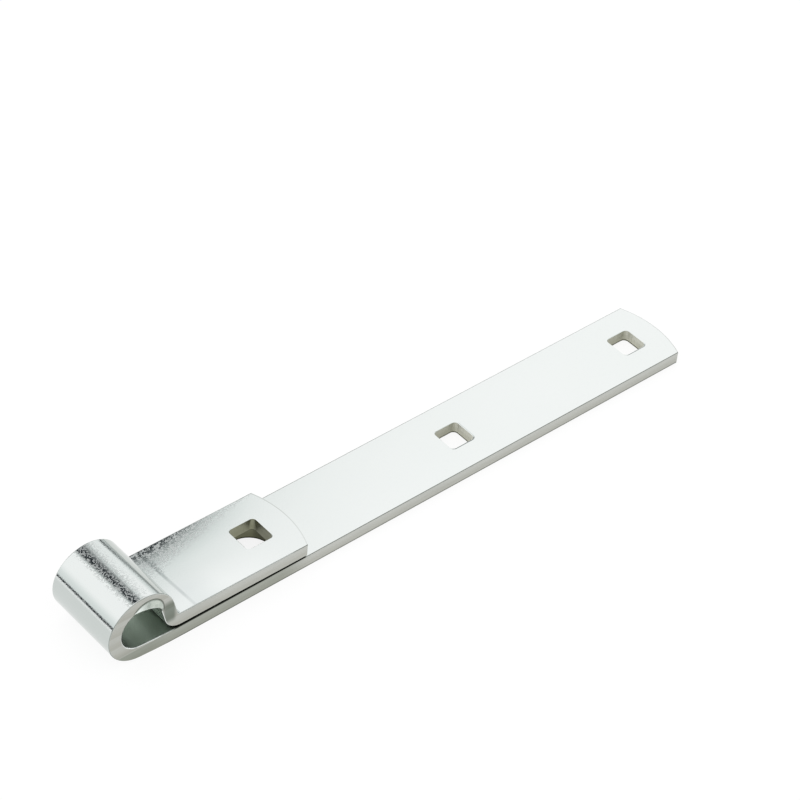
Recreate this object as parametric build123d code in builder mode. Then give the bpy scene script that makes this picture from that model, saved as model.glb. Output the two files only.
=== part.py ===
"""Gate hinge strap: one flat bar rolled into an eye and doubled back on itself.

Sizes are in millimetres. The eye's axis is Y, the strap runs along +X, +Z is up.
The origin is on the eye's axis, half way across the bar.
"""
import os
from math import atan2, cos, degrees, radians, sin, tan

from build123d import *

# Bar stock
bar_width = 30.0
bar_thickness = 5.0
edge_radius = 0.3

# Eye for a 16 mm pin
eye_bore_radius = 8.0
eye_lift = 0.8
eye_ramp_length = 17.0
eye_end_angle = 15.0

# Fold that turns the bar from the eye back along the strap
fold_radius = 1.5
flap_gap_at_fold = 0.85
flap_gap_at_tip = 0.3

# Lengths along the strap, from the eye's axis
flap_tip_x = 70.0
tail_tip_x = 241.3
end_arc_radius = 38.0

# Square holes for 10 mm coach bolts, from the eye's axis
flap_hole_x = 55.0
middle_hole_x = 144.2
tail_hole_x = 226.5
hole_side = 10.2
flap_hole_side = 10.8
hole_corner_radius = 1.5
hole_taper = 4.0
hole_rim = 0.15
hole_rim_angle = 45.0
relief_hole_radius = 8.5

# Raised lip on the inner edge of the eye, on the front side
lip_angle = 65.0
lip_half_span = 52.0
lip_foot = 2.9
lip_height = 1.3
lip_crest_radius = 0.4
lip_root_depth = 1.4

# Derived heights of the lower layer
eye_outer_radius = eye_bore_radius + bar_thickness
back_z = -(eye_outer_radius + eye_lift)
lower_top_z = back_z + bar_thickness

# The lower layer climbs to the eye on an arc that is tangent to both
ramp_radius = eye_outer_radius + (eye_ramp_length**2 + eye_lift**2) / (2 * eye_lift)
ramp_angle = degrees(atan2(eye_ramp_length, ramp_radius - eye_outer_radius - eye_lift))
eye_sweep = 270.0 - ramp_angle - eye_end_angle

# The flap leans down from the fold to its tip
flap_lean = degrees(atan2(flap_gap_at_fold - flap_gap_at_tip, flap_tip_x - eye_outer_radius))
fold_turn = 90.0 - eye_end_angle - flap_lean
wall_normal = Vector(cos(radians(eye_end_angle)), sin(radians(eye_end_angle)))
wall_along = Vector(wall_normal.Y, -wall_normal.X)
flap_along = Vector(cos(radians(flap_lean)), -sin(radians(flap_lean)))
flap_normal = Vector(-flap_along.Y, flap_along.X)

# Centre of the fold: beside the eye's wall and above the flap
flap_tip_under = Vector(flap_tip_x, lower_top_z + flap_gap_at_tip)
fold_reach = eye_outer_radius + fold_radius
fold_rise = flap_tip_under.dot(flap_normal) + bar_thickness + fold_radius
fold_cross = wall_normal.X * flap_normal.Y - wall_normal.Y * flap_normal.X
fold_centre = Vector(
    (fold_reach * flap_normal.Y - fold_rise * wall_normal.Y) / fold_cross,
    (fold_rise * wall_normal.X - fold_reach * flap_normal.X) / fold_cross,
)
flap_tip_top = flap_tip_under + flap_normal * bar_thickness
flap_mid_gap_z = lower_top_z + flap_gap_at_tip / 2

# Plane on the flap's top, centred on its hole
flap_hole_from_tip = (flap_tip_x - flap_hole_x) / cos(radians(flap_lean))
flap_hole_top = flap_tip_top - flap_along * flap_hole_from_tip
flap_plane = Plane(
    origin=(flap_hole_top.X, 0, flap_hole_top.Y),
    x_dir=(flap_along.X, 0, flap_along.Y),
    z_dir=(flap_normal.X, 0, flap_normal.Y),
)

# Mouths of the square holes where their rims are rolled in
rim_side = hole_side + 2 * hole_rim
flap_rim_side = flap_hole_side + 2 * hole_rim
rim_corner_radius = hole_corner_radius + hole_rim
rim_depth = hole_rim / tan(radians(hole_rim_angle))

# Cone that leaves the lip: it meets the bore at both ends of the lip's span
lip_reach = eye_bore_radius + lip_foot
lip_offset = (lip_reach**2 - eye_bore_radius**2) / (
    2 * (lip_reach - eye_bore_radius * cos(radians(lip_half_span)))
)
lip_cone_radius = lip_reach - lip_offset
lip_slope = degrees(atan2(lip_foot, lip_height))

clear_height = 2 * eye_outer_radius + bar_thickness

with BuildPart() as hinge_strap:
    # The bent bar seen from the side: outer face out to the flap's tip, inner face back
    with BuildSketch(Plane.XZ):
        with BuildLine():
            back_face = Line((tail_tip_x, back_z), (eye_ramp_length, back_z))
            ramp_under = JernArc(back_face @ 1, (-1, 0), ramp_radius, -ramp_angle)
            eye_outside = JernArc(ramp_under @ 1, ramp_under % 1, eye_outer_radius, -eye_sweep)
            wall_outside = Line(eye_outside @ 1, fold_centre - wall_normal * fold_radius)
            fold_inside = JernArc(wall_outside @ 1, wall_along, fold_radius, fold_turn)
            flap_top = Line(fold_inside @ 1, flap_tip_top)
            flap_end = Line(flap_tip_top, flap_tip_under)
            flap_under = Line(flap_tip_under, fold_centre - flap_normal * (fold_radius + bar_thickness))
            fold_outside = JernArc(
                flap_under @ 1, flap_along * -1, fold_radius + bar_thickness, -fold_turn
            )
            wall_inside = Line(fold_outside @ 1, wall_normal * eye_bore_radius)
            eye_inside = JernArc(wall_inside @ 1, wall_along * -1, eye_bore_radius, eye_sweep)
            ramp_top = JernArc(eye_inside @ 1, eye_inside % 1, ramp_radius - bar_thickness, ramp_angle)
            lower_top = Line(ramp_top @ 1, (tail_tip_x, lower_top_z))
            tail_end = Line(lower_top @ 1, back_face @ 0)
        make_face()
    extrude(amount=bar_width / 2, both=True)

    # Tail end, rounded in plan
    with BuildSketch(Plane.XY.offset(back_z - bar_thickness)):
        with Locations((tail_tip_x, 0)):
            Rectangle(bar_width, 2 * bar_width)
        with Locations((tail_tip_x - end_arc_radius, 0)):
            Circle(end_arc_radius, mode=Mode.SUBTRACT)
    extrude(amount=clear_height, mode=Mode.SUBTRACT)

    # Flap end, the same arc, cut from the gap upwards
    with BuildSketch(Plane.XY.offset(flap_mid_gap_z)):
        with Locations((flap_tip_x, 0)):
            Rectangle(bar_width, 2 * bar_width)
        with Locations((flap_tip_x - end_arc_radius, 0)):
            Circle(end_arc_radius, mode=Mode.SUBTRACT)
    extrude(amount=clear_height, mode=Mode.SUBTRACT)

    # Rolled edges along both sides of the bar and across its two ends
    side_edges = hinge_strap.faces().filter_by(Axis.Y).edges()
    end_edges = hinge_strap.edges().filter_by(
        lambda edge: edge.geom_type == GeomType.CIRCLE and abs(edge.radius - end_arc_radius) < 0.01
    )
    fillet(side_edges + end_edges, radius=edge_radius)

    # Square holes, rolled in at the top and slightly wider where the punch comes out
    with BuildSketch(Plane.XY.offset(lower_top_z)):
        with Locations((middle_hole_x, 0), (tail_hole_x, 0)):
            RectangleRounded(hole_side, hole_side, hole_corner_radius)
    extrude(amount=-bar_thickness, taper=-hole_taper, mode=Mode.SUBTRACT)
    with BuildSketch(Plane.XY.offset(lower_top_z)):
        with Locations((middle_hole_x, 0), (tail_hole_x, 0)):
            RectangleRounded(rim_side, rim_side, rim_corner_radius)
    extrude(amount=-rim_depth, taper=hole_rim_angle, mode=Mode.SUBTRACT)

    # Square hole through the flap, round clearance hole through the layer below it
    with BuildSketch(flap_plane):
        RectangleRounded(flap_hole_side, flap_hole_side, hole_corner_radius)
    extrude(amount=-bar_thickness, mode=Mode.SUBTRACT)
    with BuildSketch(flap_plane):
        RectangleRounded(flap_rim_side, flap_rim_side, rim_corner_radius)
    extrude(amount=-rim_depth, taper=hole_rim_angle, mode=Mode.SUBTRACT)
    with BuildSketch(Plane.XY.offset(flap_mid_gap_z)):
        with Locations((flap_hole_x, 0)):
            Circle(relief_hole_radius)
    extrude(amount=-2 * bar_thickness, mode=Mode.SUBTRACT)

    # Lip pushed up along the eye's inner edge: an off-centre cone, open over the bore
    with BuildPart(mode=Mode.PRIVATE) as lip:
        with BuildSketch(Plane.XZ.offset(bar_width / 2)) as lip_base:
            with Locations((lip_offset * cos(radians(lip_angle)), lip_offset * sin(radians(lip_angle)))):
                Circle(lip_cone_radius)
        extrude(amount=lip_height, taper=lip_slope)
        extrude(lip_base.sketch, amount=-lip_root_depth)
        with BuildSketch(Plane.XZ.offset(bar_width / 2 - lip_root_depth)):
            Circle(eye_bore_radius)
        extrude(amount=lip_root_depth + lip_height, mode=Mode.SUBTRACT)
        fillet(lip.edges().group_by(Axis.Y)[0], radius=lip_crest_radius)
    add(lip.part)

os.makedirs("parts", exist_ok=True)
hinge_strap.part.label = "hinge_strap"
export_step(hinge_strap.part, "parts/hinge_strap.step")
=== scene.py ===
"""Gate hinge strap in bright zinc plate, lying on its back on a white studio floor."""
from math import cos, degrees, radians, sin

import bpy
from mathutils import Matrix, Vector

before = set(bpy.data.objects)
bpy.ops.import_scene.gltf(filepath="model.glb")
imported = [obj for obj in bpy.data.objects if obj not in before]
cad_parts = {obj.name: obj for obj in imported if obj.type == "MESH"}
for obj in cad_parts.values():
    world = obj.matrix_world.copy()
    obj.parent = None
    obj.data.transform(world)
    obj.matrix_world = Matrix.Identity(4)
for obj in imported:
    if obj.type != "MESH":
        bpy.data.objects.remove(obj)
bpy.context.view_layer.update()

# Units, in metres
MM = 0.001
MICROMETRE = 0.000001

# Places on the strap, in millimetres from the eye's axis, as in the part's source
BACK_Z = -13.8
BAR_THICKNESS = 5.0
BAR_HALF_WIDTH = 15.0
LAYER_Z = BACK_Z + BAR_THICKNESS
LAYER_PITCH = 5.3
EYE_BORE_RADIUS = 8.0
FLAP_TIP_X = 70.0
TAIL_TIP_X = 241.3
END_ARC_RADIUS = 38.0
FLAP_HOLE_X = 55.0
MIDDLE_HOLE_X = 144.2
TAIL_HOLE_X = 226.5
HOLE_MOUTH = 5.25
MOUTH_CORNER = 1.65
LIP_ANGLE = radians(65.0)
LIP_HALF_SPAN = radians(52.0)
LIP_FOOT = 2.9

# Half width round the middle of each hole that takes in all of its walls
HOLE_REACH = {FLAP_HOLE_X: 8.8, MIDDLE_HOLE_X: 6.4, TAIL_HOLE_X: 6.4}

# Width over which the punch drew in the top round the middle and tail holes
DRAWN_IN_WIDTH = 0.4

# Borders of zones, each the start and end of a smooth step
UPRIGHT_LEVEL = (0.75, 0.35)
TOP_FACING = (0.97, 0.995)
SIDE_FACING = (0.93, 0.985)
PAST_FLAP_HOLE_X = (60.0, 62.0)
PAST_TAIL_HOLE_X = (220.0, 222.0)
FLAP_TOP_Z = (-7.0, -6.0)
UPPER_RISE = (0.3 * BAR_THICKNESS, 0.8 * BAR_THICKNESS)
END_LINE_RADIUS = (END_ARC_RADIUS - 0.5, END_ARC_RADIUS - 0.4)
FAR_LINE_Y = (14.55, 14.65)
FRONT_Y = (0.3 - BAR_HALF_WIDTH, -BAR_HALF_WIDTH)
LIP_Y = (-0.02 - BAR_HALF_WIDTH, -0.2 - BAR_HALF_WIDTH)
CREST_Y = (-0.9 - BAR_HALF_WIDTH, -1.25 - BAR_HALF_WIDTH)
EYE_LEFT_X = (4.0, -2.0)

# Groove left across the flap by the tool that closed the fold, its line darkened as painted reflection,
# and painted dark flecks of reflection beside it
FOLD_MARK_X = 20.6
FOLD_MARK_SLANT = 0.035
FOLD_MARK_HALF_WIDTH = 0.15
FOLD_FLECKS_X = FOLD_MARK_X + 0.4
FOLD_FLECKS_HALF_WIDTH = 0.5

# Patterns: scale per millimetre and detail of each noise, and how far two of them are drawn out
NOISES = {
    "cloud": (0.03, 3.0),
    "waves": (0.07, 1.0),
    "mottle": (0.5, 2.0),
    "peel": (0.9, 2.0),
    "grain": (2.2, 2.0),
}
DRAWN_OUT = {"drawn": (0.08, 1.2, 1.6), "torn": (1.4, 1.4, 0.15)}
DRAWN_OUT_DETAIL = 3.0
FLECK_SCALE = 2.1

# Colours that a pattern or a zone blends between
PLATE = ((0.865, 0.9, 0.885, 1), (0.892, 0.918, 0.908, 1))
SHEARED_LOW = ((0.41, 0.415, 0.375, 1), (0.54, 0.545, 0.5, 1))
SHEARED_HIGH = ((0.48, 0.49, 0.455, 1), (0.58, 0.59, 0.555, 1))
PUNCHED_LOW = ((0.52, 0.52, 0.43, 1), (0.68, 0.68, 0.6, 1))
PUNCHED_HIGH = ((0.64, 0.645, 0.56, 1), (0.78, 0.78, 0.72, 1))
# Inside of the eye, its colour partly painted shade
EYE_INSIDE = ((0.61, 0.67, 0.61, 1), (0.66, 0.715, 0.66, 1))
# Lip lighter towards its left as painted reflection, and its crest a painted highlight
LIP_RIGHT_TO_LEFT = ((0.58, 0.63, 0.57, 1), (0.93, 0.985, 0.94, 1))
LIP_CREST_HIGHLIGHT = (0.84, 0.88, 0.85, 1)

# Tones of painted shade, painted shadow and painted reflection that darken zones of the plated faces, the
# sheared faces, the punched walls, and lines on any
PLATE_TONES = {
    "underside_shade": (0.655, 0.675, 0.665, 1),
    "wall_outside": (0.62, 0.64, 0.62, 1),
    "fold_foot_shade": (0.9, 0.915, 0.92, 1),
    "fold_groove_and_reflection": (0.62, 0.64, 0.645, 1),
    "fold_reflection_flecks": (0.6, 0.62, 0.62, 1),
    "edge_reflection_lines": (0.78, 0.78, 0.77, 1),
}
SHEARED_TONES = {
    "lower_side": (0.7, 0.72, 0.68, 1),
    "flap_side": (0.92, 0.92, 0.91, 1),
    "wall_side": (0.44, 0.485, 0.45, 1),
    "ring_foot": (0.83, 0.84, 0.82, 1),
    "foot": (0.36, 0.37, 0.34, 1),
}
PUNCHED_TONES = {
    "cross_walls": (0.74, 0.74, 0.7, 1),
    "flap_walls": (0.54, 0.55, 0.46, 1),
    "flap_end_walls": (0.52, 0.52, 0.5, 1),
    "relief": (0.5, 0.5, 0.45, 1),
    "exit": (0.25, 0.25, 0.2, 1),
}
LINE_TONES = {
    "edges": (0.55, 0.56, 0.54, 1),
    "end_edge": (0.45, 0.46, 0.44, 1),
    "under_edges": (0.25, 0.25, 0.23, 1),
    "crease": (0.28, 0.3, 0.27, 1),
    "gap": (0.05, 0.055, 0.045, 1),
}
# Painted shade on the left of the eye's inside
EYE_INSIDE_LEFT_TONE = (0.86, 0.86, 0.86, 1)
LIP_MOTTLE_TONE = (0.84, 0.86, 0.85, 1)

# Roughness of the polished plate, and what flecks and duller zones add
PLATE_ROUGHNESS = (0.03, 0.06)
FLECK_ROUGHNESS = 0.26
ZONE_ROUGHNESS = {"inside": 0.35, "sheared": 0.3, "walls": 0.25, "lip": 0.2}

# Heights of the relief in micrometres, the crown's for each cubic millimetre from the middle
WAVE_HEIGHT = 5.0
GRAIN_HEIGHT = 3.0
BARREL_GRAIN_HEIGHT = 4.5
DRAWN_LINE_HEIGHT = 14.0
TORN_LINE_HEIGHT = 18.0
CROWN_HEIGHT = -0.057
PEEL_HEIGHT = 7.0
FOLD_MARK_HEIGHT = -6.0
DRAWN_IN_HEIGHT = -30.0

# Floor, in metres: its left edge is near, so that the barrel mirrors what lies beyond it
FLOOR_SIZE = 0.65
FLOOR_CENTRE_X = 0.145
FLOOR_MATT = (0.72, 0.725, 0.71, 1)
FLOOR_GLOW = 0.86
FLOOR_SHADOWED = (0.165, 0.165, 0.165, 1)

# White tent, the tinge of its half tones, and the dark of its gaps
WHITE = (1, 1, 1, 1)
TENT_TINGE = (0.95, 1.0, 0.985, 1)
TENT_GAP = (0.03, 0.035, 0.04, 1)

# Left border of the gap over the back, in degrees of roll, and how it leans with y
BACK_BORDER_ROLL = 89.0
BACK_BORDER_SOFT = 14.5
BACK_BORDER_Y = 0.56
BACK_BORDER_LEAN = 170.0

# Dark line where tent and floor meet
FLOOR_LINE_HALF_WIDTH = 0.046
FLOOR_LINE_SOFT = 0.045

# Camera of the photograph
CAMERA_PLACE = (-0.37062, -0.49858, 0.65261)
CAMERA_RIGHT = (0.757317, -0.649044, 0.072196)
CAMERA_DOWN = (-0.396956, -0.545299, -0.738292)
CAMERA_AHEAD = (0.518553, 0.530462, -0.670607)
FOCAL_PIXELS = 2842.77
IMAGE_PIXELS = 800
SENSOR_WIDTH = 36.0
CLIP_NEAR = 0.05
CLIP_FAR = 50.0


class Nodes:
    """Short calls for wiring one node tree."""

    def __init__(self, tree):
        self.tree = tree
        tree.nodes.clear()

    def add(self, kind, **settings):
        node = self.tree.nodes.new(kind)
        for key, value in settings.items():
            setattr(node, key, value)
        return node

    def link(self, source, target):
        self.tree.links.new(source, target)

    def feed(self, socket, value):
        if isinstance(value, bpy.types.NodeSocket):
            self.link(value, socket)
        else:
            socket.default_value = value

    def math(self, operation, a, b=0.0):
        node = self.add("ShaderNodeMath", operation=operation)
        self.feed(node.inputs[0], a)
        self.feed(node.inputs[1], b)
        return node.outputs[0]

    def size(self, value):
        return self.math("ABSOLUTE", value)

    def less(self, value, amount):
        return self.math("SUBTRACT", value, amount)

    def product(self, first, *others):
        for other in others:
            first = self.math("MULTIPLY", first, other)
        return first

    def total(self, first, *others):
        for other in others:
            first = self.math("ADD", first, other)
        return first

    def most(self, first, *others):
        for other in others:
            first = self.math("MAXIMUM", first, other)
        return first

    def outside(self, mask):
        return self.less(1.0, mask)

    def distance(self, a, b, centre=(0.0, 0.0)):
        """Distance in the plane of a and b from a centre."""
        away_a = self.less(a, centre[0])
        away_b = self.less(b, centre[1])
        return self.math("SQRT", self.total(self.product(away_a, away_a), self.product(away_b, away_b)))

    def past_square(self, along, across, half, corner):
        """Distance outwards from the outline of a square with rounded corners."""
        past_along = self.most(self.less(along, half - corner), 0.0)
        past_across = self.most(self.less(across, half - corner), 0.0)
        return self.less(self.distance(past_along, past_across), corner)

    def step(self, value, low, high, start=0.0, end=1.0):
        """Smooth change from start to end while value goes from low to high."""
        node = self.add("ShaderNodeMapRange", interpolation_type="SMOOTHSTEP")
        self.feed(node.inputs["Value"], value)
        node.inputs["From Min"].default_value = low
        node.inputs["From Max"].default_value = high
        node.inputs["To Min"].default_value = start
        node.inputs["To Max"].default_value = end
        return node.outputs["Result"]

    def below(self, value, limit, soft):
        """1 up to limit, falling to 0 over soft."""
        return self.step(value, limit, limit + soft, 1.0, 0.0)

    def band(self, value, middle, half, soft):
        """1 within half of middle, falling to 0 over soft."""
        return self.below(self.size(self.less(value, middle)), half, soft)

    def blend(self, factor, a, b, **settings):
        node = self.add("ShaderNodeMix", data_type="RGBA", **settings)
        self.feed(node.inputs[0], factor)
        self.feed(node.inputs[6], a)
        self.feed(node.inputs[7], b)
        return node.outputs[2]

    def darken(self, colour, mask, tone):
        """Colour times tone where the mask is 1."""
        return self.blend(mask, colour, tone, blend_type="MULTIPLY")

    def darken_zones(self, colour, zones, tones):
        """Colour darkened in each of the zones that has a tone."""
        for zone, tone in tones.items():
            colour = self.darken(colour, zones[zone], tone)
        return colour

    def noise(self, place, scale, detail):
        node = self.add("ShaderNodeTexNoise")
        self.link(place, node.inputs["Vector"])
        node.inputs["Scale"].default_value = scale
        node.inputs["Detail"].default_value = detail
        return node.outputs["Fac"]

    def cells(self, place, scale):
        """A value from 0 to 1 for each small cell."""
        node = self.add("ShaderNodeTexVoronoi")
        self.link(place, node.inputs["Vector"])
        node.inputs["Scale"].default_value = scale
        return self.split(node.outputs["Color"])[0]

    def stretch(self, place, factors):
        node = self.add("ShaderNodeMapping")
        self.link(place, node.inputs["Vector"])
        node.inputs["Scale"].default_value = factors
        return node.outputs["Vector"]

    def split(self, vector):
        node = self.add("ShaderNodeSeparateXYZ")
        self.link(vector, node.inputs[0])
        return node.outputs[0], node.outputs[1], node.outputs[2]

    def choose(self, factor, first, second):
        """First shader where factor is 0, second where it is 1."""
        node = self.add("ShaderNodeMixShader")
        self.link(factor, node.inputs[0])
        self.link(first.outputs[0], node.inputs[1])
        self.link(second.outputs[0], node.inputs[2])
        return node

    def surface(self, kind, shader):
        self.link(shader.outputs[0], self.add(kind).inputs["Surface"])


class Spot:
    """A point of the strap: its place in millimetres, and which way its face points."""

    def __init__(self, n, mm, facing):
        self.x, self.y, self.z = n.split(mm)
        self.facing_x, facing_y, self.facing_z = n.split(facing)
        self.across = n.size(self.y)
        self.sideways = n.size(facing_y)
        self.level = n.size(self.facing_z)
        self.upright = n.step(self.level, *UPRIGHT_LEVEL)
        self.top = n.step(self.facing_z, *TOP_FACING)
        self.from_axis = n.distance(self.x, self.z)
        self.from_flap_arc = n.distance(self.x, self.y, (FLAP_TIP_X - END_ARC_RADIUS, 0.0))
        self.past_flap_hole = n.step(self.x, *PAST_FLAP_HOLE_X)
        self.flap_height = n.step(self.z, *FLAP_TOP_Z)


def lip_crease():
    """Centre and radius of the circle where the eye's lip meets the side of the bar."""
    reach = EYE_BORE_RADIUS + LIP_FOOT
    offset = (reach**2 - EYE_BORE_RADIUS**2) / (2 * (reach - EYE_BORE_RADIUS * cos(LIP_HALF_SPAN)))
    return (offset * cos(LIP_ANGLE), offset * sin(LIP_ANGLE)), reach - offset


def hole_zones(n, spot):
    """Bolt holes: punched walls with painted shade, those of the flap apart, a painted shadow line at
    their foot, drawn-in rims on top.
    """
    holes = {}
    mouths = []
    for hole_x, reach in HOLE_REACH.items():
        along = n.size(n.less(spot.x, hole_x))
        holes[hole_x] = n.below(n.most(along, spot.across), reach, 0.1)
        if hole_x != FLAP_HOLE_X:
            past_mouth = n.past_square(along, spot.across, HOLE_MOUTH, MOUTH_CORNER)
            mouths.append(n.below(past_mouth, 0.0, DRAWN_IN_WIDTH))
    zones = {"near_hole": n.most(*holes.values())}
    zones["drawn_in"] = n.product(n.most(*mouths), spot.top)
    zones["walls"] = n.product(zones["near_hole"], spot.upright)
    # Painted shade on the walls: across the bar, deeper in the flap's hole and its relief, and a painted
    # shadow line where they meet the floor
    zones["cross_walls"] = n.product(zones["walls"], n.step(spot.sideways, 0.3, 0.9))
    zones["flap_walls"] = n.product(holes[FLAP_HOLE_X], spot.upright)
    zones["flap_end_walls"] = n.product(zones["flap_walls"], n.step(spot.sideways, 0.9, 0.3))
    zones["relief"] = n.product(zones["flap_walls"], n.below(spot.z, LAYER_Z - 0.2, 0.2))
    zones["exit"] = n.product(zones["walls"], n.below(spot.z, BACK_Z + 0.35, 0.4))
    return zones


def sheared_zones(n, spot, clear_of_holes):
    """Sheared faces: the long sides with painted shade on stretches of them, and the two ends."""
    x, z = spot.x, spot.z
    side = n.product(n.step(spot.sideways, *SIDE_FACING), clear_of_holes)
    ends = n.product(spot.upright, spot.past_flap_hole)
    zones = {"sheared": n.most(side, ends)}
    # Painted shade: the lower layer's side under the flap, the foot by the floor, the ring's foot, the
    # flap's side near the fold, and the side of the wall beside the lip
    zones["lower_side"] = n.product(side, n.below(z, LAYER_Z - 0.2, 0.4), n.below(x, 56.0, 14.0))
    zones["foot"] = n.product(side, n.below(z, BACK_Z + 0.4, 0.5))
    zones["ring_foot"] = n.product(side, n.below(z, -8.5, 2.0), n.below(x, 2.0, 10.0))
    zones["flap_side"] = n.product(side, n.step(z, LAYER_Z + 0.5, LAYER_Z + 1.0), n.step(x, 45.0, 20.0))
    zones["wall_side"] = n.product(side, n.band(x, 10.6, 1.4, 1.8), n.band(z, 0.5, 3.0, 3.0))

    # Height within each layer of the bar, 0 at its back and 1 at its top
    rise = n.math("MODULO", n.less(z, BACK_Z), LAYER_PITCH)
    zones["upper"] = n.step(rise, *UPPER_RISE)
    return zones


def edge_zones(n, spot, clear_of_holes):
    """Painted reflection lines on the rounded edges and beside them on top, and painted shade in the gap
    between the two layers.
    """
    x, y = spot.x, spot.y

    # Painted dark reflection on the rounded edges, apart from the eye's inner ones, and painted shade on
    # those turned down
    side_edge = n.product(n.band(spot.sideways, 0.62, 0.24, 0.1), n.step(spot.from_axis, 11.2, 11.8))
    end_edge = n.product(n.band(spot.level, 0.76, 0.14, 0.06), spot.past_flap_hole)
    zones = {"edges": n.product(n.most(side_edge, end_edge), clear_of_holes)}
    zones["end_edge"] = n.product(end_edge, clear_of_holes)
    turned_down = n.step(spot.facing_z, -0.1, -0.4)
    zones["under_edges"] = n.product(turned_down, n.band(spot.sideways, 0.65, 0.3, 0.1))

    # Painted dark lines on top along the edges, standing in for the reflection of their rounded rims
    from_tail_arc = n.distance(x, y, (TAIL_TIP_X - END_ARC_RADIUS, 0.0))
    flap_end = n.product(n.step(spot.from_flap_arc, *END_LINE_RADIUS), spot.past_flap_hole)
    flap_end = n.product(flap_end, spot.flap_height, n.step(y, -14.0, 6.0, 0.55, 0.9))
    tail_end = n.product(n.step(from_tail_arc, *END_LINE_RADIUS), n.step(x, *PAST_TAIL_HOLE_X), 0.6)
    far_edge = n.product(n.step(y, *FAR_LINE_Y), n.step(x, 160.0, 60.0), n.step(x, 12.0, 16.0))
    lines = n.most(flap_end, tail_end, far_edge)
    zones["edge_reflection_lines"] = n.product(lines, n.step(spot.facing_z, 0.6, 0.7))

    # Painted shade in the narrow gap between the two layers, closing towards the flap's tip
    gap = n.band(spot.z, LAYER_Z + 0.12, 0.3, 0.2)
    under_flap = n.below(spot.from_flap_arc, END_ARC_RADIUS - 0.7, 0.5)
    zones["gap"] = n.product(gap, n.step(x, 11.0, 14.0), under_flap)
    return zones


def eye_zones(n, spot):
    """Eye: its inside, its lip, and its outside with the wall beside the fold."""
    x, y, z = spot.x, spot.y, spot.z

    # Inside of the eye and the wedge below the fold
    in_bore = n.below(spot.from_axis, EYE_BORE_RADIUS + 0.4, 0.3)
    in_wedge = n.product(n.band(x, 4.0, 11.0, 1.0), n.band(z, -6.2, 2.9, 0.3))
    zones = {"inside": n.product(n.most(in_bore, in_wedge), n.below(spot.sideways, 0.3, 0.3))}
    zones["eye_left"] = n.step(x, *EYE_LEFT_X)

    # Lip, its crest with a painted highlight, and painted shade in the crease at its foot
    centre, radius = lip_crease()
    crease = n.band(n.distance(x, z, centre), radius, 0.16, 0.3)
    zones["crease"] = n.product(crease, n.step(y, *FRONT_Y), n.step(spot.from_axis, 8.3, 9.0))
    zones["lip"] = n.step(y, *LIP_Y)
    zones["crest"] = n.step(y, *CREST_Y)

    # Outside: the whole barrel, the half turned down and the wall with painted shade, and where rolling
    # stretched the bar
    outside_eye = n.product(n.step(spot.from_axis, 12.0, 12.6), n.below(x, 15.0, 1.5))
    left = n.below(x, 0.0, 2.0)
    zones["barrel"] = n.product(outside_eye, n.below(x, 12.0, 1.0))
    # Painted shade on the barrel's half turned down towards the floor
    zones["underside_shade"] = n.product(outside_eye, n.step(spot.facing_z, 0.52, 0.36), left)
    # Painted shade on the barrel's outside where it faces the fold
    zones["wall_outside"] = n.product(outside_eye, n.step(spot.facing_x, 0.42, 0.52))
    top = n.product(zones["barrel"], n.step(spot.facing_z, 0.8, 0.9), n.band(x, -1.0, 3.6, 2.0), 0.8)
    left_line = n.product(zones["barrel"], n.band(spot.facing_z, 0.45, 0.07, 0.06), left, 0.4)
    zones["stretched_eye"] = n.most(top, left_line)
    return zones


def flap_zones(n, spot):
    """Top of the flap, slightly crowned, with the groove of the tool that closed the fold, painted
    reflection along and beside the groove, and painted shade at the fold's foot.
    """
    x, y, across = spot.x, spot.y, spot.across
    on_flap = n.product(spot.flap_height, n.step(x, 10.0, 14.0), spot.top)
    crowned = n.product(n.step(x, 70.0, 20.0), n.step(x, 16.0, 21.5, 0.82, 1.0))
    zones = {"crown": n.product(on_flap, crowned, across, across, across)}
    # Painted shade on the flap near the foot of the fold
    past_mark = n.product(n.step(x, 36.0, 22.0), n.step(x, 20.2, 21.2, 0.5, 1.0))
    zones["fold_foot_shade"] = n.product(on_flap, past_mark, n.step(y, -8.0, -1.0, 1.0, 0.2))
    pulled = n.less(y, n.product(n.less(x, 20.0), 0.24))
    zones["far_corner"] = n.product(on_flap, n.step(pulled, 1.0, 7.0))

    # Fold groove, its painted reflection darkest half way across, and the painted reflection flecks that
    # follow its far half
    mark_place = n.total(x, n.product(y, FOLD_MARK_SLANT))
    mark = n.band(mark_place, FOLD_MARK_X, FOLD_MARK_HALF_WIDTH, 0.8)
    depth = n.total(
        n.step(y, -12.0, -8.0, 0.3, 0.55), n.step(y, -2.0, 1.0, 0.0, 0.35), n.step(y, 1.5, 5.0, 0.0, -0.45)
    )
    zones["fold_groove_and_reflection"] = n.product(mark, depth, on_flap)
    beside_mark = n.band(mark_place, FOLD_FLECKS_X, FOLD_FLECKS_HALF_WIDTH, 1.2)
    zones["fold_reflection_flecks"] = n.product(beside_mark, n.step(y, 0.5, 5.0), on_flap)
    return zones


def strap_zones(n, mm, facing):
    """Masks for the parts of the strap that differ in finish, and for painted shade, highlights and
    reflections.
    """
    spot = Spot(n, mm, facing)
    zones = hole_zones(n, spot)
    clear_of_holes = n.outside(zones["near_hole"])
    zones.update(sheared_zones(n, spot, clear_of_holes))
    zones.update(edge_zones(n, spot, clear_of_holes))
    zones.update(eye_zones(n, spot))
    zones.update(flap_zones(n, spot))
    zones["stretched"] = n.most(zones["stretched_eye"], zones["far_corner"])
    return zones


def plate_patterns(n, mm):
    """Clouds, waves, grain and flecks of the plating, lines drawn along the bar and down the walls."""
    patterns = {name: n.noise(mm, scale, detail) for name, (scale, detail) in NOISES.items()}
    for name, factors in DRAWN_OUT.items():
        patterns[name] = n.noise(n.stretch(mm, factors), 1.0, DRAWN_OUT_DETAIL)
    patterns["flecks"] = n.step(n.cells(mm, FLECK_SCALE), 0.52, 0.62)
    return patterns


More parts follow.
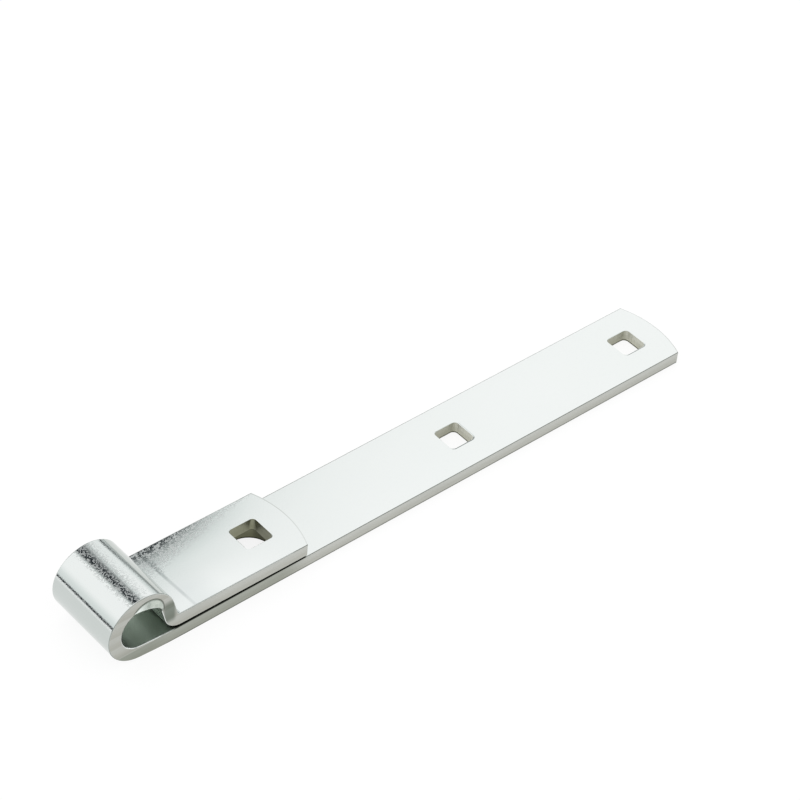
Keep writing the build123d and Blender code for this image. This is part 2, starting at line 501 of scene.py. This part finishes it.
def strap_colour(n, zones, patterns):
    """Plated faces, sheared faces, punched walls and eye, with painted shade, highlights and reflections
    on edges, hollows and the gap.
    """
    cloud, drawn, torn, upper = patterns["cloud"], patterns["drawn"], patterns["torn"], zones["upper"]
    # Painted dark flecks of reflection beside the fold groove, picked out by the grain
    speckle = n.product(zones["fold_reflection_flecks"], n.step(patterns["grain"], 0.46, 0.56))
    plate = n.darken_zones(n.blend(cloud, *PLATE), {**zones, "fold_reflection_flecks": speckle}, PLATE_TONES)
    sheared = n.blend(upper, n.blend(drawn, *SHEARED_LOW), n.blend(drawn, *SHEARED_HIGH))
    sheared = n.darken_zones(sheared, zones, SHEARED_TONES)
    punched = n.blend(upper, n.blend(torn, *PUNCHED_LOW), n.blend(torn, *PUNCHED_HIGH))
    punched = n.darken_zones(punched, zones, PUNCHED_TONES)
    # Inside of the eye, its colour partly painted shade, darker still on its left
    eye_inside = n.darken(n.blend(cloud, *EYE_INSIDE), zones["eye_left"], EYE_INSIDE_LEFT_TONE)
    # Lip lighter to the left as painted reflection, its crest a painted highlight
    lip = n.blend(zones["eye_left"], *LIP_RIGHT_TO_LEFT)
    lip = n.darken(lip, n.step(patterns["mottle"], 0.46, 0.58), LIP_MOTTLE_TONE)
    lip = n.blend(zones["crest"], lip, LIP_CREST_HIGHLIGHT)

    colour = n.blend(zones["sheared"], plate, sheared)
    colour = n.blend(zones["walls"], colour, punched)
    colour = n.blend(zones["inside"], colour, eye_inside)
    colour = n.blend(zones["lip"], colour, lip)
    return n.darken_zones(colour, zones, LINE_TONES)


def strap_roughness(n, zones, patterns):
    """Polished plate, satin flecks where the bar was stretched, satin sheared faces, a dull eye."""
    flecks = n.product(patterns["flecks"], zones["stretched"], FLECK_ROUGHNESS)
    plate = n.total(n.step(patterns["grain"], 0.4, 0.6, *PLATE_ROUGHNESS), flecks)
    added = [n.product(zones[zone], amount) for zone, amount in ZONE_ROUGHNESS.items()]
    return n.total(n.product(plate, n.outside(zones["inside"])), *added)


def strap_height(n, zones, patterns):
    """Slow waves, grain, drawn and torn lines, the flap's crown and fold mark, the holes' rims."""
    return n.total(
        n.product(patterns["waves"], WAVE_HEIGHT),
        n.product(patterns["grain"], GRAIN_HEIGHT),
        n.product(patterns["grain"], zones["barrel"], BARREL_GRAIN_HEIGHT),
        n.product(patterns["drawn"], zones["sheared"], DRAWN_LINE_HEIGHT),
        n.product(patterns["torn"], zones["walls"], TORN_LINE_HEIGHT),
        n.product(zones["crown"], CROWN_HEIGHT),
        n.product(patterns["peel"], zones["far_corner"], PEEL_HEIGHT),
        n.product(zones["fold_groove_and_reflection"], FOLD_MARK_HEIGHT),
        n.product(zones["drawn_in"], DRAWN_IN_HEIGHT),
    )


def zinc_plate():
    """Bright zinc on rolled bar: speckled gloss, duller sheared sides, punched walls and eye, with painted
    shade, highlights and reflections.
    """
    material = bpy.data.materials.new("zinc_plate")
    material.use_nodes = True
    n = Nodes(material.node_tree)
    place = n.add("ShaderNodeTexCoord")
    scaled = n.add("ShaderNodeVectorMath", operation="SCALE")
    n.link(place.outputs["Object"], scaled.inputs[0])
    scaled.inputs["Scale"].default_value = 1.0 / MM
    mm = scaled.outputs[0]
    zones = strap_zones(n, mm, place.outputs["Normal"])
    patterns = plate_patterns(n, mm)

    bump = n.add("ShaderNodeBump")
    bump.inputs["Strength"].default_value = 1.0
    bump.inputs["Distance"].default_value = MICROMETRE
    n.link(strap_height(n, zones, patterns), bump.inputs["Height"])
    shader = n.add("ShaderNodeBsdfPrincipled")
    shader.inputs["Metallic"].default_value = 1.0
    n.link(strap_colour(n, zones, patterns), shader.inputs["Base Color"])
    n.link(strap_roughness(n, zones, patterns), shader.inputs["Roughness"])
    n.link(bump.outputs["Normal"], shader.inputs["Normal"])
    n.surface("ShaderNodeOutputMaterial", shader)
    return material


def white_floor():
    """Plain floor under the strap's back, white to the eye and in the metal, with a soft shadow."""
    bpy.ops.object.select_all(action="DESELECT")
    bpy.ops.mesh.primitive_plane_add(size=FLOOR_SIZE, location=(FLOOR_CENTRE_X, 0, BACK_Z * MM))
    floor = bpy.context.object
    floor.name = "studio_floor"
    material = bpy.data.materials.new("floor_white")
    material.use_nodes = True
    n = Nodes(material.node_tree)
    matt = n.add("ShaderNodeBsdfDiffuse")
    matt.inputs["Color"].default_value = FLOOR_MATT
    white = n.add("ShaderNodeEmission")
    white.inputs["Color"].default_value = WHITE
    white.inputs["Strength"].default_value = FLOOR_GLOW
    shadowed = n.add("ShaderNodeBsdfDiffuse")
    shadowed.inputs["Color"].default_value = FLOOR_SHADOWED
    seen = n.add("ShaderNodeAddShader")
    n.link(white.outputs[0], seen.inputs[0])
    n.link(shadowed.outputs[0], seen.inputs[1])
    rays = n.add("ShaderNodeLightPath")
    in_view = n.most(
        rays.outputs["Is Camera Ray"], rays.outputs["Is Glossy Ray"], rays.outputs["Is Transmission Ray"]
    )
    n.surface("ShaderNodeOutputMaterial", n.choose(in_view, matt, seen))
    floor.data.materials.append(material)


def back_gap(n, roll, y):
    """Gap over the back: slow shade from the right, harder border on the left, which leans."""
    leaning = n.less(roll, n.product(n.less(y, BACK_BORDER_Y), BACK_BORDER_LEAN))
    left_border = n.below(leaning, BACK_BORDER_ROLL, BACK_BORDER_SOFT)
    reach = n.most(n.step(y, 0.53, 0.575), n.product(n.step(roll, 58.0, 68.0), n.step(y, 0.48, 0.52)))
    slow = n.product(n.step(roll, 41.0, 82.0), left_border, reach)

    # Panel behind it, dimmer the further back it is
    dim = n.total(
        n.step(y, 0.5, 0.545, 0.0, 0.07), n.step(y, 0.53, 0.61, 0.0, 0.8), n.step(y, 0.573, 0.6, 0.0, 0.17)
    )
    panel = n.product(dim, n.step(roll, 50.0, 57.0), left_border)
    far_panel = n.product(n.step(y, 0.572, 0.6), n.step(roll, 30.0, 42.0), left_border, 0.85)
    return n.product(n.most(slow, panel, far_panel), n.below(y, 0.75, 0.15))


def floor_line(n, x, y, z):
    """Thin dark line where tent and floor meet, higher on the right."""
    slant = n.product(n.step(y, 0.54, 0.58, -0.11, 0.11), n.step(x, -0.4, 0.4, -0.25, 1.0))
    line_height = n.total(n.step(x, -0.4, 0.4, -0.055, 0.117), slant)
    line = n.band(z, line_height, FLOOR_LINE_HALF_WIDTH, FLOOR_LINE_SOFT)
    strength = n.most(n.step(x, 0.2, -0.2, 0.0, 0.97), n.step(y, 0.545, 0.57, 0.62, 0.97))
    return n.product(line, strength)


def tent_gaps(n, direction):
    """Darkness, 0 to 1, of the gaps between the white panels that the bright metal mirrors."""
    x, y, z = n.split(direction)

    # Degrees round the eye's axis, from the right over the top
    roll = n.product(n.math("ARCTAN2", z, x), degrees(1.0))

    # Tent dims towards the floor, a little on its left panel, and low on the right towards the back
    low = n.product(n.step(z, 0.5, 0.08), n.step(x, -0.2, 0.2, 0.21, 0.33))
    left = n.step(roll, 96.0, 110.0, 0.0, 0.05)
    haze = n.total(n.step(y, 0.5, 0.545, 0.0, 0.045), n.step(y, 0.545, 0.57, 0.0, 0.13))
    haze = n.product(haze, n.step(x, 0.1, 0.3), n.below(roll, 60.0, 20.0))

    # Dim room beyond the front right
    front = n.product(n.step(y, -0.35, -0.5), n.step(x, 0.1, 0.3))
    front = n.product(front, n.step(z, 0.7, 0.1), n.step(z, -0.05, 0.0), 0.7)
    return n.most(back_gap(n, roll, y), n.total(low, left), haze, floor_line(n, x, y, z), front)


def studio_world():
    """White tent around the strap, with gaps that only show in the metal."""
    world = bpy.data.worlds.new("studio_world")
    bpy.context.scene.world = world
    world.use_nodes = True
    n = Nodes(world.node_tree)
    place = n.add("ShaderNodeTexCoord")
    gaps = tent_gaps(n, place.outputs["Generated"])
    tent = n.blend(n.step(gaps, 0.0, 0.3), WHITE, TENT_TINGE)
    mirrored = n.add("ShaderNodeBackground")
    n.link(n.blend(gaps, tent, TENT_GAP), mirrored.inputs["Color"])
    plain = n.add("ShaderNodeBackground")
    plain.inputs["Color"].default_value = WHITE
    rays = n.add("ShaderNodeLightPath")
    n.surface("ShaderNodeOutputWorld", n.choose(rays.outputs["Is Glossy Ray"], plain, mirrored))


def photograph_camera():
    """Camera at the photograph's place, with its angle of view."""
    data = bpy.data.cameras.new("camera")
    data.sensor_fit = "HORIZONTAL"
    data.sensor_width = SENSOR_WIDTH
    data.lens = FOCAL_PIXELS / IMAGE_PIXELS * SENSOR_WIDTH
    data.clip_start = CLIP_NEAR
    data.clip_end = CLIP_FAR
    camera = bpy.data.objects.new("camera", data)
    bpy.context.scene.collection.objects.link(camera)
    right = Vector(CAMERA_RIGHT)
    up = -Vector(CAMERA_DOWN)
    back = -Vector(CAMERA_AHEAD)
    turn = Matrix((right, up, back)).transposed().to_4x4()
    camera.matrix_world = Matrix.Translation(CAMERA_PLACE) @ turn
    bpy.context.scene.camera = camera


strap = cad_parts["hinge_strap"]
strap.data.materials.clear()
strap.data.materials.append(zinc_plate())
white_floor()
studio_world()
photograph_camera()
bpy.context.scene.view_settings.view_transform = "Standard"
